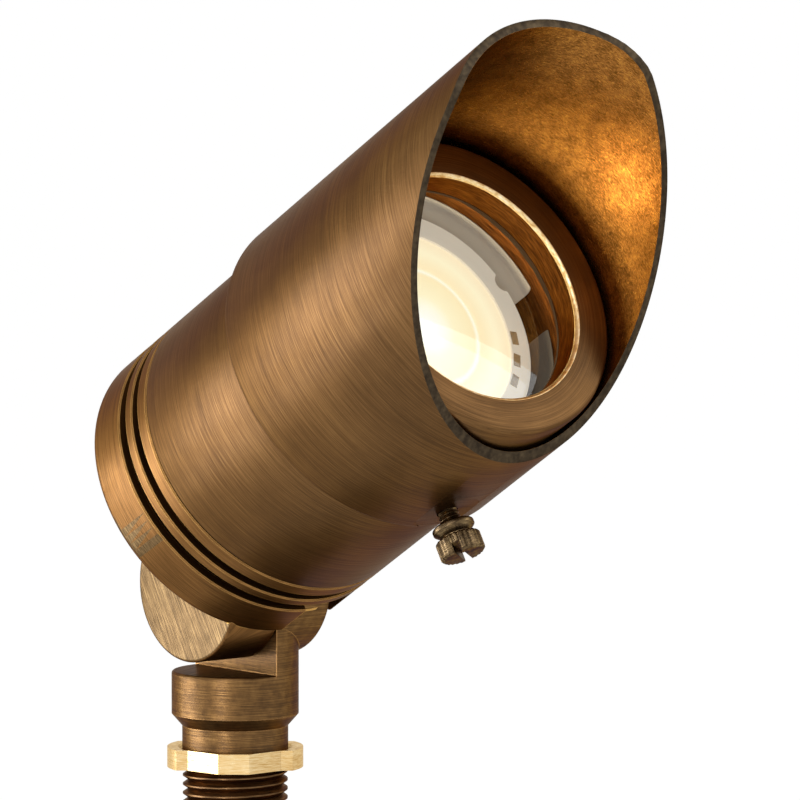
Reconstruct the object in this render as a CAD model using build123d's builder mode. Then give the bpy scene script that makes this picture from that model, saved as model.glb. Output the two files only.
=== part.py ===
from build123d import *
import os
from math import cos, radians, sin, tan

# Garden spike spotlight: a turned brass head that tilts on a knuckle over a ground spike.
# Millimetres. The ground line is z = 0, the stem stands on the Z axis, the head points along -Y.
# A station is a distance along the lamp axis, ahead of the rear housing's rear face.

# ---- Stance ----
pivot_height = 58.0  # tilt axis above the ground line
head_elevation = 31.15  # lamp axis above the horizon, degrees
pivot_behind_rim = 7.2  # tilt axis behind the rear face
pivot_below_axis = 17.06  # tilt axis below the lamp axis

# ---- Clearances ----
running_fit = 0.08  # radial, shaft in hole
face_gap = 0.15  # each knuckle face to the mating plane
seat_gap = 0.05  # between pieces that bear on each other
edge_break = 0.3  # small turned chamfers
thread_crest = 0.12  # flat of a thread's ridge, share of its pitch
seal_rounding = 0.33  # corner radius of a seal, share of its depth

# ---- Barrel and rear housing ----
barrel_radius = 31.67
barrel_wall = 3.0
rear_rim_round = 1.5
groove_depth = 2.0
first_groove_station = 9.9
first_groove_width = 2.3
second_groove_station = 14.5
second_groove_width = 2.0
seam_station = 19.85
seam_width = 0.45
spigot_length = 7.4
spigot_wall = 2.3
spigot_groove_offset = 1.2
spigot_groove_depth = 1.2
spigot_groove_width = 2.0
housing_floor = 3.2
bezel_station = 87.0  # front face of the barrel
bezel_ledge = 4.74  # the lip's reach inwards from the bore
bezel_lip = 6.0
bezel_round = 0.9

# ---- Glass, gasket and retaining ring ----
gasket_thickness = 0.6
glass_thickness = 3.5
glass_play = 0.5
retainer_thickness = 1.4
retainer_ledge = 1.77  # the ring's reach inwards from the bore
retainer_groove_depth = 0.9
retainer_gap_angle = 24.0

# ---- Labels inside the barrel ----
label_thickness = 0.15
label_length = 11.0
label_front_station = 71.0
label_sweep_angle = 104.0
label_middle_angle = 28.0  # about the lamp axis, from the top towards +X
second_label_sweep_angle = 40.0
second_label_middle_angle = 117.0

# ---- Hood and its thumbscrew ----
shroud_gap = 0.87  # between barrel and hood
shroud_wall = 1.7
shroud_rear_station = 51.9
shroud_front_station = 129.5
shroud_rear_round = 0.7
hood_cut_station = 109.2  # where the slanted cut crosses the lamp axis
hood_cut_angle = 41.2  # slanted cut, from square across the axis
hood_cut_blend = 14.0  # radius where the slanted cut meets the square end
hood_clocking = -6.0  # turn of the cut about the lamp axis
o_ring_station = 71.5
o_ring_width = 2.4
o_ring_groove_depth = 1.4
screw_station = 57.6
screw_spot_depth = 0.5
screw_spot_radius = 6.4
screw_thread_radius = 2.07
screw_thread_depth = 0.35
screw_pitch = 0.8
screw_exposed = 2.7
screw_collar_radius = 4.2
screw_collar_height = 2.3
screw_neck_radius = 2.9
screw_neck_height = 0.5
screw_head_radius = 4.5
screw_head_height = 3.9
screw_head_chamfer = 0.45
screw_slot_angle = 53.0  # from the lamp axis towards -X
screw_slot_width = 1.5
screw_slot_depth = 2.0
screw_knurls = 24
screw_knurl_radius = 0.3

# ---- Knuckle ----
ear_radius = 15.1
ear_thickness = 12.4
ear_clearance = 0.6
ear_edge_round = 0.7
relief_radius = 22.2  # scoop that lets the housing swing past the stem
relief_start_angle = 18.0  # from the lamp axis towards its under side, degrees
relief_wall = 2.4
wire_ring_inner_radius = 4.5
wire_ring_outer_radius = 9.2
wire_ring_depth = 4.5
seal_radius = 11.6
seal_width = 1.7
seal_depth = 1.3
bolt_radius = 3.0
bolt_reach = 9.0
bolt_thread_depth = 0.5
bolt_pitch = 1.0
bolt_hole_spare = 1.5
bolt_head_radius = 5.2
bolt_head_height = 2.9
bolt_socket_across = 4.0
bolt_socket_depth = 2.0
counterbore_radius = 6.0
counterbore_depth = 5.2
washer_thickness = 0.9
washer_play = 0.3
spring_washer_thickness = 1.3
spring_washer_gap = 1.6
lead_hole_radius = 2.2
lead_hole_offset = 3.4
lead_seal_length = 5.0

# ---- Stem and lock nut ----
stem_radius = 12.7
shelf_drop = 17.6  # below the tilt axis
bevel_drop = 26.2
neck_drop = 28.6
neck_end_drop = 33.4
neck_radius = 10.6
stem_edge_round = 0.6
stem_bore_radius = 4.5
stem_bore_drop = 22.5
riser_radius = 2.3
riser_offset = 4.3
riser_drop = 5.5
thread_radius = 10.5
thread_depth = 1.1
thread_pitch = 1.814
thread_end = -4.0  # lower end of the thread, below the ground line
nut_drop = 32.9
nut_thickness = 4.0
nut_lobe_radius = 13.6
nut_flat = 12.75
nut_flat_half_width = 3.1
nut_shoulder_half_width = 9.3
nut_lobe_half_width = 7.1
nut_countersink = 0.9
nut_turn = -41.0  # about the stem's axis, from the lobes lying along X

# ---- Ground spike ----
hub_top = 10.5
hub_radius = 16.5
hub_lower_radius = 14.0
hub_depth = 27.0
hub_edge = 1.2
flange_radius = 27.0
flange_thickness = 3.0
socket_end = -5.5
cable_chamber_radius = 8.6
cable_chamber_end = -22.0
cable_slot_width = 10.0
cable_slot_top = -6.5
blade_width = 27.0
blade_thickness = 3.4
blade_tip_width = 5.0
blade_tip_length = 12.0
spike_depth = 208.0

# ---- Lamp and its socket ----
lamp_radius = 25.0
lamp_front_station = 69.0
lamp_rim_depth = 5.0
lamp_rim_round = 1.0
optic_radius = 21.4
optic_recess = 0.5
optic_thickness = 2.6
optic_ring_radius = 12.6
optic_ring_width = 0.8
lamp_base_station = 26.0
lamp_base_radius = 10.5
lamp_base_length = 9.0
lamp_base_half_width = 7.4
lamp_shell_bulge = 2.5
lamp_shell_inset = 0.8
optic_ledge = 0.9
board_station = 57.0
board_thickness = 1.6
chip_size = 3.0
chip_height = 0.8
chip_circle_radius = 7.5
chip_count = 6
pin_radius = 0.75
pin_spacing = 5.3
pin_length = 6.8
socket_radius = 8.5
socket_half_width = 6.6
socket_length = 13.0
socket_gap = 0.4
contact_wall = 0.6
contact_play = 0.05
contact_inset = 0.6
bracket_thickness = 1.0
bracket_length = 36.0
bracket_width = 10.0
bracket_corner = 3.3
bracket_tab_height = 4.5
post_spacing = 28.0
post_radius = 3.6
post_screw_radius = 1.45
post_screw_length = 6.0
post_screw_head_radius = 2.7
post_screw_head_height = 1.8
post_screw_head_round = 0.6
post_screw_slot = 0.6
lead_radius = 0.8
lead_spacing = 2.1
lead_station = 19.6
lead_bend = 4.4

# ---- Frames that the sizes above settle ----
tilt = radians(head_elevation)
lamp_direction = Vector(0, -cos(tilt), sin(tilt))
up_side = Vector(0, sin(tilt), cos(tilt))
across = Vector(1, 0, 0)
pivot = Vector(0, 0, pivot_height)
rim_centre = pivot + lamp_direction * pivot_behind_rim + up_side * pivot_below_axis
head = Plane(origin=rim_centre, x_dir=across, z_dir=lamp_direction)
head_axis = Axis(rim_centre, lamp_direction)
head_section = Plane(origin=rim_centre, x_dir=up_side, z_dir=across)  # (radius, station)
tilt_plane = Plane(origin=pivot, x_dir=lamp_direction, z_dir=across)  # (ahead, towards under side)
tilt_axis = Axis(pivot, across)
tilt_section = Plane(origin=pivot, x_dir=across, z_dir=Vector(0, -1, 0))  # (across, up)

# ---- Sizes that follow from those above ----
barrel_bore = barrel_radius - barrel_wall
bezel_bore_radius = barrel_bore - bezel_ledge
retainer_inner_radius = barrel_bore - retainer_ledge
spigot_radius = barrel_bore - running_fit
spigot_end = seam_station + spigot_length
cavity_radius = spigot_radius - spigot_wall
lip_station = bezel_station - bezel_lip
gasket_station = lip_station - gasket_thickness
glass_station = gasket_station - glass_thickness
glass_radius = barrel_bore - glass_play
retainer_station = glass_station - seat_gap - retainer_thickness
shroud_bore = barrel_radius + shroud_gap
shroud_radius = shroud_bore + shroud_wall
lamp_base_end = lamp_base_station + lamp_base_length
lamp_rim_station = lamp_front_station - lamp_rim_depth
socket_front = lamp_base_station - socket_gap
socket_station = socket_front - socket_length
bracket_station = socket_station - bracket_thickness
reach = shroud_front_station  # cuts in the head reach at least this far


def ring(inner, outer, low, high, corner=0.0):
    """A ring about the lamp axis between two radii and two stations, with rounded corners."""
    with BuildPart() as turned:
        with BuildSketch(head_section):
            with Locations(((inner + outer) / 2, (low + high) / 2)):
                if corner > 0:
                    RectangleRounded(outer - inner, high - low, corner)
                else:
                    Rectangle(outer - inner, high - low)
        revolve(axis=head_axis)
    return turned.part


def tilt_ring(inner, outer, low, high, corner=0.0):
    """A ring about the tilt axis between two radii, from one distance across to another."""
    with BuildPart() as turned:
        with BuildSketch(tilt_section):
            with Locations(((low + high) / 2, (inner + outer) / 2)):
                if corner > 0:
                    RectangleRounded(high - low, outer - inner, corner)
                else:
                    Rectangle(high - low, outer - inner)
        revolve(axis=tilt_axis)
    return turned.part


def sector(middle, sweep, length):
    """A wedge about the lamp axis, its middle at an angle from the top towards +X."""
    shares = (-0.5, -0.25, 0.0, 0.25, 0.5)
    angles = [radians(middle + share * sweep) for share in shares]
    with BuildPart() as wedge:
        with BuildSketch(head):
            with BuildLine():
                Polyline((0, 0), *[(reach * sin(a), reach * cos(a)) for a in angles], close=True)
            make_face()
        extrude(amount=length)
    return wedge.part


def groove_outline(outer, low, high):
    """Corners of one groove with broken edges, in order up the outside."""
    floor = outer - groove_depth
    lower = [(outer, low - edge_break), (outer - edge_break, low), (floor, low)]
    upper = [(floor, high), (outer - edge_break, high), (outer, high + edge_break)]
    return lower + upper


def thread_outline(crest, root, low, high, pitch):
    """Corners of the ridges up a threaded shaft, from its lower to its upper end."""
    turns = max(1, round((high - low) / pitch))
    step = (high - low) / turns
    rise = (1 - thread_crest) * step / 2
    corners = []
    for turn in range(turns):
        base = low + turn * step
        corners += [(root, base), (crest, base + rise), (crest, base + step - rise)]
    return corners + [(root, high)]


def relief_outline(plane, grow):
    """The housing's clearance round the stem: a disc for the ear and a scoop for the upright."""
    start = radians(relief_start_angle)
    far = 2 * relief_radius
    with BuildSketch(plane) as outline:
        Circle(relief_radius)
        with BuildLine():
            Polyline(
                (0, 0),
                (far * cos(start), far * sin(start)),
                (far, far),
                (-far, far),
                (-far, 0),
                close=True,
            )
        make_face(mode=Mode.INTERSECT)
        Circle(ear_radius + ear_clearance)
        if grow > 0:
            offset(amount=grow, kind=Kind.ARC)
    return outline.sketch


# ================= Ground spike =================

with BuildPart() as ground_spike:
    with BuildSketch(Plane.XZ):
        with BuildLine():
            Polyline(
                (0, -hub_depth),
                (hub_lower_radius, -hub_depth),
                (hub_lower_radius, -flange_thickness),
                (flange_radius - hub_edge, -flange_thickness),
                (flange_radius, hub_edge - flange_thickness),
                (flange_radius, -edge_break),
                (flange_radius - edge_break, 0),
                (hub_radius, 0),
                (hub_radius, hub_top - hub_edge),
                (hub_radius - hub_edge, hub_top),
                (0, hub_top),
                close=True,
            )
        make_face()
    revolve(axis=Axis.Z)
    for blade_plane in (Plane.XZ, Plane.YZ):
        with BuildSketch(blade_plane):
            with BuildLine():
                Polyline(
                    (-blade_width / 2, -hub_depth),
                    (-blade_tip_width / 2, blade_tip_length - spike_depth),
                    (0, -spike_depth),
                    (blade_tip_width / 2, blade_tip_length - spike_depth),
                    (blade_width / 2, -hub_depth),
                    (0, cable_chamber_end - blade_thickness),
                    close=True,
                )
            make_face()
        extrude(amount=blade_thickness / 2, both=True)
    # threaded socket for the stem
    with BuildSketch(Plane.XZ):
        with BuildLine():
            Polyline(
                *thread_outline(
                    thread_radius + running_fit,
                    thread_radius + running_fit - thread_depth,
                    thread_end,
                    pivot_height - neck_end_drop,
                    thread_pitch,
                ),
                (0, pivot_height - neck_end_drop),
                (0, thread_end),
                close=True,
            )
        make_face()
    revolve(axis=Axis.Z, mode=Mode.SUBTRACT)
    with BuildSketch(Plane.XY.offset(socket_end)):
        Circle(thread_radius - thread_depth)
    extrude(amount=thread_end - socket_end, mode=Mode.SUBTRACT)
    # chamber under the stem and the slot that lets the lead out at the back
    with BuildSketch(Plane.XY.offset(cable_chamber_end)):
        Circle(cable_chamber_radius)
    extrude(amount=socket_end - cable_chamber_end, mode=Mode.SUBTRACT)
    with BuildSketch(Plane.XY.offset(cable_chamber_end)):
        with Locations((0, hub_radius / 2)):
            Rectangle(cable_slot_width, hub_radius)
    extrude(amount=cable_slot_top - cable_chamber_end, mode=Mode.SUBTRACT)
ground_spike.part.label = "ground_spike"

# ================= Stem and lock nut =================

shelf_height = pivot_height - shelf_drop
bevel_height = pivot_height - bevel_drop
neck_height = pivot_height - neck_drop
neck_end = pivot_height - neck_end_drop

with BuildPart() as stem_ear:
    with BuildSketch(tilt_plane.offset(face_gap)):
        Circle(ear_radius)
    extrude(amount=ear_thickness)
    fillet(stem_ear.edges().group_by(Axis.X)[-1], ear_edge_round)

with BuildPart() as knuckle_stem:
    with BuildSketch(Plane.XZ):
        with BuildLine():
            Polyline(
                (0, thread_end),
                *thread_outline(
                    thread_radius, thread_radius - thread_depth, thread_end, neck_end, thread_pitch
                ),
                (neck_radius, neck_end),
                (neck_radius, neck_height),
                (stem_radius, bevel_height),
                (stem_radius, shelf_height),
                (0, shelf_height),
                close=True,
            )
        make_face()
    revolve(axis=Axis.Z)
    shelf_edge = knuckle_stem.edges().filter_by(GeomType.CIRCLE).sort_by(Axis.Z)[-1]
    fillet(shelf_edge, stem_edge_round)
    # upright and ear, on the +X side of the mating plane
    with BuildSketch(Plane.XY.offset(shelf_height - stem_edge_round)):
        Circle(stem_radius)
        with Locations((face_gap - stem_radius, 0)):
            Rectangle(2 * stem_radius, 2 * stem_radius, mode=Mode.SUBTRACT)
    extrude(amount=shelf_drop + stem_edge_round)
    add(stem_ear.part)
    # bolt hole, counterbore, seal groove and the ring-shaped way for the wires
    bolt_hole = bolt_radius + running_fit
    counterbore_floor = face_gap + ear_thickness - counterbore_depth
    add(tilt_ring(0, bolt_hole, 0, 2 * ear_thickness), mode=Mode.SUBTRACT)
    add(tilt_ring(0, counterbore_radius, counterbore_floor, 2 * ear_thickness), mode=Mode.SUBTRACT)
    add(
        tilt_ring(wire_ring_inner_radius, wire_ring_outer_radius, 0, wire_ring_depth),
        mode=Mode.SUBTRACT,
    )
    add(
        tilt_ring(seal_radius - seal_width / 2, seal_radius + seal_width / 2, 0, face_gap + seal_depth),
        mode=Mode.SUBTRACT,
    )
    # bore up the stem, and the riser from it into the ear
    with BuildSketch(Plane.XY.offset(thread_end)):
        Circle(stem_bore_radius)
    extrude(amount=pivot_height - stem_bore_drop - thread_end, mode=Mode.SUBTRACT)
    with BuildSketch(Plane.XY.offset(pivot_height - stem_bore_drop - riser_radius)):
        with Locations((riser_offset, 0)):
            Circle(riser_radius)
    extrude(amount=stem_bore_drop + riser_radius - riser_drop, mode=Mode.SUBTRACT)
knuckle_stem.part.label = "knuckle_stem"

with BuildPart() as lock_nut:
    nut_plane = Plane.XY.offset(pivot_height - nut_drop - nut_thickness)
    with BuildSketch(nut_plane.rotated((0, 0, nut_turn))):
        Rectangle(2 * nut_lobe_radius, 2 * nut_lobe_half_width)
        with BuildLine():
            Polyline(
                (-nut_shoulder_half_width, -nut_lobe_half_width),
                (-nut_flat_half_width, -nut_flat),
                (nut_flat_half_width, -nut_flat),
                (nut_shoulder_half_width, -nut_lobe_half_width),
                (nut_shoulder_half_width, nut_lobe_half_width),
                (nut_flat_half_width, nut_flat),
                (-nut_flat_half_width, nut_flat),
                (-nut_shoulder_half_width, nut_lobe_half_width),
                close=True,
            )
        make_face()
        Circle(nut_lobe_radius, mode=Mode.INTERSECT)
        Circle(thread_radius + running_fit, mode=Mode.SUBTRACT)
    extrude(amount=nut_thickness)
    bore_edges = lock_nut.edges().filter_by(GeomType.CIRCLE).group_by(SortBy.RADIUS)[0]
    chamfer(bore_edges, nut_countersink)
lock_nut.part.label = "lock_nut"

# ================= Rear housing =================

first_groove = (first_groove_station, first_groove_station + first_groove_width)
second_groove = (second_groove_station, second_groove_station + second_groove_width)
housing_front = seam_station - seam_width / 2
ear_reach = face_gap + ear_thickness
relief_reach = ear_reach + ear_clearance + ear_edge_round
post_station = bracket_station
post_foot = housing_floor / 2

with BuildPart() as knuckle_boss:
    with BuildSketch(tilt_plane.offset(-ear_reach)):
        Circle(ear_radius + ear_clearance + relief_wall)
    extrude(amount=ear_reach + relief_reach + relief_wall)
    extrude(
        relief_outline(tilt_plane.offset(-relief_wall), relief_wall),
        amount=relief_reach + 2 * relief_wall,
    )
    with BuildSketch(head.offset(housing_floor / 2)):
        Circle((cavity_radius + barrel_radius - groove_depth) / 2)
    extrude(amount=reach, mode=Mode.INTERSECT)

with BuildPart() as lamp_ear:
    with BuildSketch(tilt_plane.offset(-ear_reach)):
        Circle(ear_radius)
    extrude(amount=ear_thickness)
    fillet(lamp_ear.edges().group_by(Axis.X)[0], ear_edge_round)

with BuildPart() as rear_housing:
    with BuildSketch(head_section):
        with BuildLine():
            Polyline(
                (0, 0),
                (barrel_radius, 0),
                *groove_outline(barrel_radius, *first_groove),
                *groove_outline(barrel_radius, *second_groove),
                (barrel_radius, housing_front - edge_break),
                (barrel_radius - edge_break, housing_front),
                (spigot_radius, housing_front),
                (spigot_radius, spigot_end - edge_break),
                (spigot_radius - edge_break, spigot_end),
                (cavity_radius, spigot_end),
                (cavity_radius, housing_floor),
                (0, housing_floor),
                close=True,
            )
        make_face()
    revolve(axis=head_axis)
    rear_edge = rear_housing.edges().filter_by(GeomType.CIRCLE).sort_by(head_axis)[0]
    fillet(rear_edge, rear_rim_round)
    add(knuckle_boss.part)
    # posts that carry the socket bracket
    with BuildSketch(head.offset(post_foot)):
        with GridLocations(post_spacing, 0, 2, 1):
            Circle(post_radius)
    extrude(amount=post_station - post_foot)
    add(lamp_ear.part)
    # clearance for the stem's ear and upright, on the +X side
    extrude(
        relief_outline(tilt_plane.offset(-face_gap), 0),
        amount=face_gap + relief_reach,
        mode=Mode.SUBTRACT,
    )
    # bolt thread, wire ring and the hole that leads the wires inside
    bolt_end = -(bolt_reach + bolt_hole_spare)
    add(tilt_ring(0, bolt_hole, bolt_end, 0), mode=Mode.SUBTRACT)
    add(
        tilt_ring(wire_ring_inner_radius, wire_ring_outer_radius, -wire_ring_depth, 0),
        mode=Mode.SUBTRACT,
    )
    with BuildSketch(head.offset(-pivot_behind_rim + wire_ring_inner_radius)):
        with Locations((-lead_hole_offset, -pivot_below_axis)):
            Circle(lead_hole_radius)
    extrude(amount=reach, mode=Mode.SUBTRACT)
    # groove for the seam's seal, and the tapped holes in the posts
    seal_station = housing_front + spigot_groove_offset
    add(
        ring(
            spigot_radius - spigot_groove_depth,
            barrel_radius,
            seal_station,
            seal_station + spigot_groove_width,
        ),
        mode=Mode.SUBTRACT,
    )
    with BuildSketch(head.offset(post_station - post_screw_length - running_fit)):
        with GridLocations(post_spacing, 0, 2, 1):
            Circle(post_screw_radius + running_fit)
    extrude(amount=post_screw_length + running_fit, mode=Mode.SUBTRACT)
rear_housing.part.label = "rear_housing"

# ================= Knuckle hardware =================

washer_start = counterbore_floor + seat_gap
spring_washer_start = washer_start + washer_thickness + seat_gap
bolt_head_start = spring_washer_start + spring_washer_thickness + seat_gap
washer_radius = counterbore_radius - washer_play

with BuildPart() as bolt_washer:
    add(tilt_ring(bolt_hole, washer_radius, washer_start, washer_start + washer_thickness))
bolt_washer.part.label = "bolt_washer"

with BuildPart() as spring_washer:
    add(
        tilt_ring(
            bolt_hole,
            bolt_head_radius,
            spring_washer_start,
            spring_washer_start + spring_washer_thickness,
        )
    )
    with BuildSketch(tilt_plane.offset(spring_washer_start)):
        with Locations((0, -bolt_head_radius)):
            Rectangle(spring_washer_gap, 2 * (bolt_head_radius - bolt_radius))
    extrude(amount=spring_washer_thickness, mode=Mode.SUBTRACT)
spring_washer.part.label = "spring_washer"

with BuildPart() as knuckle_bolt:
    with BuildSketch(tilt_section):
        with BuildLine():
            Polyline(
                (-bolt_reach, 0),
                (-bolt_reach, bolt_radius - bolt_thread_depth),
                *[
                    (station, radius)
                    for radius, station in thread_outline(
                        bolt_radius,
                        bolt_radius - bolt_thread_depth,
                        -bolt_reach,
                        -face_gap,
                        bolt_pitch,
                    )[1:]
                ],
                (0, bolt_radius),
                (bolt_head_start, bolt_radius),
                (bolt_head_start, bolt_head_radius),
                (bolt_head_start + bolt_head_height - edge_break, bolt_head_radius),
                (bolt_head_start + bolt_head_height, bolt_head_radius - edge_break),
                (bolt_head_start + bolt_head_height, 0),
                close=True,
            )
        make_face()
    revolve(axis=tilt_axis)
    with BuildSketch(tilt_plane.offset(bolt_head_start + bolt_head_height - bolt_socket_depth)):
        RegularPolygon(bolt_socket_across / 2, 6, major_radius=False)
    extrude(amount=2 * bolt_socket_depth, mode=Mode.SUBTRACT)
knuckle_bolt.part.label = "knuckle_bolt"

with BuildPart() as knuckle_seal:
    add(
        tilt_ring(
            seal_radius - seal_width / 2 + seat_gap,
            seal_radius + seal_width / 2 - seat_gap,
            seat_gap - face_gap,
            face_gap + seal_depth - seat_gap,
            seal_rounding * seal_depth,
        )
    )
knuckle_seal.part.label = "knuckle_seal"

# ================= Barrel, glass and their rings =================

barrel_rear = seam_station + seam_width / 2
retainer_groove_radius = barrel_bore + retainer_groove_depth
retainer_low = retainer_station - seat_gap

with BuildPart() as barrel:
    with BuildSketch(head_section):
        with BuildLine():
            Polyline(
                (barrel_bore, barrel_rear),
                (barrel_radius - edge_break, barrel_rear),
                (barrel_radius, barrel_rear + edge_break),
                (barrel_radius, o_ring_station - o_ring_width / 2),
                (barrel_radius - o_ring_groove_depth, o_ring_station - o_ring_width / 2),
                (barrel_radius - o_ring_groove_depth, o_ring_station + o_ring_width / 2),
                (barrel_radius, o_ring_station + o_ring_width / 2),
                (barrel_radius, bezel_station),
                (bezel_bore_radius + edge_break, bezel_station),
                (bezel_bore_radius, bezel_station - edge_break),
                (bezel_bore_radius, lip_station),
                (barrel_bore, lip_station),
                (barrel_bore, glass_station),
                (retainer_groove_radius, glass_station),
                (retainer_groove_radius, retainer_low),
                (barrel_bore, retainer_low),
                close=True,
            )
        make_face()
    revolve(axis=head_axis)
    bezel_edges = barrel.edges().filter_by(GeomType.CIRCLE).group_by(head_axis)[-1]
    fillet(bezel_edges.sort_by(SortBy.RADIUS)[-1], bezel_round)
barrel.part.label = "barrel"

with BuildPart() as barrel_seal:
    add(
        ring(
            spigot_radius - spigot_groove_depth + seat_gap,
            barrel_bore - seat_gap,
            seal_station + seat_gap,
            seal_station + spigot_groove_width - seat_gap,
            seal_rounding * spigot_groove_depth,
        )
    )
barrel_seal.part.label = "barrel_seal"

with BuildPart() as lens_glass:
    with BuildSketch(head.offset(glass_station)):
        Circle(glass_radius)
    extrude(amount=glass_thickness)
    chamfer(lens_glass.edges().filter_by(GeomType.CIRCLE), edge_break)
lens_glass.part.label = "lens_glass"

with BuildPart() as lens_gasket:
    add(ring(bezel_bore_radius, glass_radius, gasket_station, lip_station))
lens_gasket.part.label = "lens_gasket"

with BuildPart() as lens_retaining_ring:
    add(
        ring(
            retainer_inner_radius,
            retainer_groove_radius - seat_gap,
            retainer_station,
            retainer_station + retainer_thickness,
        )
    )
    add(sector(180, retainer_gap_angle, bezel_station), mode=Mode.SUBTRACT)
lens_retaining_ring.part.label = "lens_retaining_ring"

with BuildPart() as inner_labels:
    label_outer = barrel_bore - seat_gap / 2
    add(
        ring(
            label_outer - label_thickness,
            label_outer,
            label_front_station - label_length,
            label_front_station,
        )
    )
    add(
        sector(label_middle_angle, label_sweep_angle, bezel_station)
        + sector(second_label_middle_angle, second_label_sweep_angle, bezel_station),
        mode=Mode.INTERSECT,
    )
inner_labels.part.label = "inner_labels"

# ================= Hood and thumbscrew =================

screw_origin = rim_centre + lamp_direction * screw_station
screw_section = Plane(origin=screw_origin, x_dir=lamp_direction, z_dir=across)  # (radius, depth)
screw_axis = Axis(screw_origin, -up_side)
screw_base = Plane(origin=screw_origin, x_dir=lamp_direction, z_dir=-up_side)
screw_spot = shroud_radius - screw_spot_depth

hood_clock = radians(hood_clocking)
hood_up = across * sin(hood_clock) + up_side * cos(hood_clock)
hood_section = Plane(origin=rim_centre, x_dir=hood_up, z_dir=hood_up.cross(lamp_direction))
hood_slope = tan(radians(hood_cut_angle))
hood_square_height = (shroud_front_station - hood_cut_station) / hood_slope

with BuildPart() as hood_cutter:
    with BuildSketch(hood_section) as hood_cut:
        with BuildLine():
            Polyline(
                (-reach, hood_cut_station - reach * hood_slope),
                (hood_square_height, shroud_front_station),
                (reach, shroud_front_station),
                (reach, shroud_front_station + reach),
                (-reach, shroud_front_station + reach),
                close=True,
            )
        make_face()
        cut_corner = hood_cut.vertices().sort_by_distance((hood_square_height, shroud_front_station))[0]
        fillet(cut_corner, hood_cut_blend)
    extrude(amount=reach, both=True)

with BuildPart() as shroud:
    add(ring(shroud_bore, shroud_radius, shroud_rear_station, shroud_front_station + edge_break))
    shroud_circles = shroud.edges().filter_by(GeomType.CIRCLE).group_by(head_axis)[0]
    fillet(shroud_circles.sort_by(SortBy.RADIUS)[-1], shroud_rear_round)
    add(hood_cutter.part, mode=Mode.SUBTRACT)
    # spot face and tapped hole of the thumbscrew
    with BuildSketch(screw_base.offset(screw_spot)):
        Circle(screw_spot_radius)
    extrude(amount=2 * screw_spot_depth, mode=Mode.SUBTRACT)
    with BuildSketch(screw_base):
        Circle(screw_thread_radius + running_fit)
    extrude(amount=shroud_radius, mode=Mode.SUBTRACT)
shroud.part.label = "shroud"

with BuildPart() as shroud_o_ring:
    add(
        ring(
            barrel_radius - o_ring_groove_depth + seat_gap,
            shroud_bore - seat_gap,
            o_ring_station - o_ring_width / 2 + seat_gap,
            o_ring_station + o_ring_width / 2 - seat_gap,
            seal_rounding * o_ring_width,
        )
    )
shroud_o_ring.part.label = "shroud_o_ring"

screw_tip = barrel_radius + seat_gap
collar_start = screw_spot + screw_exposed
neck_start = collar_start + screw_collar_height
head_start = neck_start + screw_neck_height
head_end = head_start + screw_head_height

with BuildPart() as thumbscrew:
    with BuildSketch(screw_section):
        with BuildLine():
            Polyline(
                (0, screw_tip),
                *thread_outline(
                    screw_thread_radius,
                    screw_thread_radius - screw_thread_depth,
                    screw_tip,
                    collar_start,
                    screw_pitch,
                ),
                (screw_collar_radius - edge_break, collar_start),
                (screw_collar_radius, collar_start + edge_break),
                (screw_collar_radius, collar_start + screw_collar_height / 2),
                (screw_neck_radius, neck_start),
                (screw_neck_radius, head_start),
                (screw_head_radius - edge_break, head_start),
                (screw_head_radius, head_start + edge_break),
                (screw_head_radius, head_end - screw_head_chamfer),
                (screw_head_radius - screw_head_chamfer, head_end),
                (0, head_end),
                close=True,
            )
        make_face()
    revolve(axis=screw_axis)
    with BuildSketch(screw_base.offset(head_start)):
        with PolarLocations(screw_head_radius, screw_knurls):
            Circle(screw_knurl_radius)
    extrude(amount=screw_head_height, mode=Mode.SUBTRACT)
    with BuildSketch(screw_base.offset(head_end - screw_slot_depth)):
        Rectangle(2 * screw_head_radius + edge_break, screw_slot_width, rotation=screw_slot_angle)
    extrude(amount=2 * screw_slot_depth, mode=Mode.SUBTRACT)
thumbscrew.part.label = "thumbscrew"

# ================= Lamp =================

lamp_cup_radius = optic_radius - optic_ledge
lamp_shell_radius = lamp_radius - lamp_shell_inset
optic_front = lamp_front_station - optic_recess
optic_rear = optic_front - optic_thickness
contact_bore = pin_radius + contact_play
contact_radius = contact_bore + contact_wall

with BuildPart() as lamp_rim:
    with BuildSketch(head_section):
        with BuildLine():
            Polyline(
                (lamp_cup_radius, lamp_rim_station),
                (lamp_radius, lamp_rim_station),
                (lamp_radius, lamp_front_station),
                (optic_radius + seat_gap, lamp_front_station),
                (optic_radius + seat_gap, optic_rear - seat_gap),
                (lamp_cup_radius, optic_rear - seat_gap),
                close=True,
            )
        make_face()
    revolve(axis=head_axis)
    rim_front = lamp_rim.edges().filter_by(GeomType.CIRCLE).group_by(head_axis)[-1]
    fillet(rim_front.sort_by(SortBy.RADIUS)[-1], lamp_rim_round)
lamp_rim.part.label = "lamp_rim"

with BuildPart() as lamp_optic:
    add(ring(0, optic_radius, optic_rear, optic_front))
    optic_groove = optic_front - optic_ring_width / 2
    add(
        ring(optic_ring_radius, optic_ring_radius + optic_ring_width, optic_groove, lamp_front_station),
        mode=Mode.SUBTRACT,
    )
lamp_optic.part.label = "lamp_optic"

with BuildPart() as lamp_body:
    with BuildSketch(head_section):
        with BuildLine():
            SagittaArc(
                (lamp_base_radius, lamp_base_end),
                (lamp_shell_radius, lamp_rim_station),
                -lamp_shell_bulge,
            )
            Polyline(
                (lamp_shell_radius, lamp_rim_station),
                (lamp_cup_radius, lamp_rim_station),
                (lamp_cup_radius, board_station),
                (0, board_station),
                (0, lamp_base_end),
                (lamp_base_radius, lamp_base_end),
            )
        make_face()
    revolve(axis=head_axis)
lamp_body.part.label = "lamp_body"

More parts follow.
